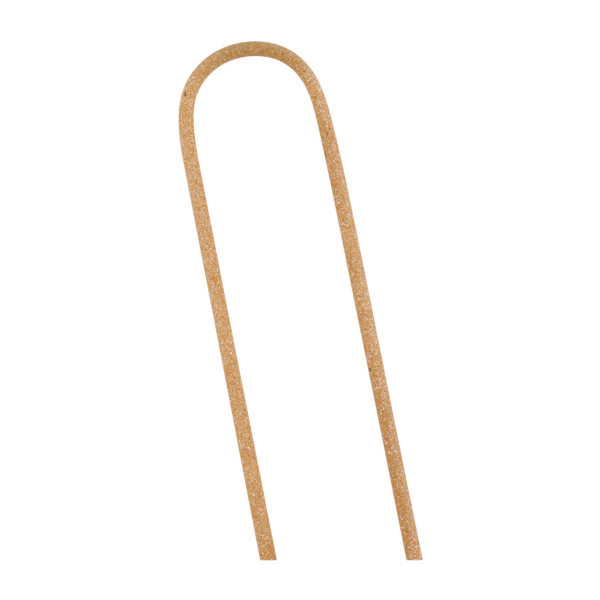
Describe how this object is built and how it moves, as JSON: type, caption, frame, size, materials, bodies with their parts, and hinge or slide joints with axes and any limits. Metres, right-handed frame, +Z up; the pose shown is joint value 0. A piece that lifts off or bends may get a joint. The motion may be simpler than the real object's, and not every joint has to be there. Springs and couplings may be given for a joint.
{
  "type": "strand of whole wheat spaghetti",
  "caption": "Dried whole wheat spaghetti strand, bent over where it hung on its drying rod into a long narrow U, with both legs cut off along a straight slanting line.",
  "frame": {"origin": "On the surface that the strand lies on, under the middle of its bounding box", "axes": "+Z is up off the surface, +Y runs along the legs from the cut ends to the crown of the bend, and +X runs across the legs from the shorter one to the longer one"},
  "size_m": [0.0206, 0.07, 0.002],
  "materials": {
    "whole_wheat_dough": null
  },
  "bodies": {
    "root": {"spaghetti_strand": "whole_wheat_dough"}
  },
  "joints": []
}
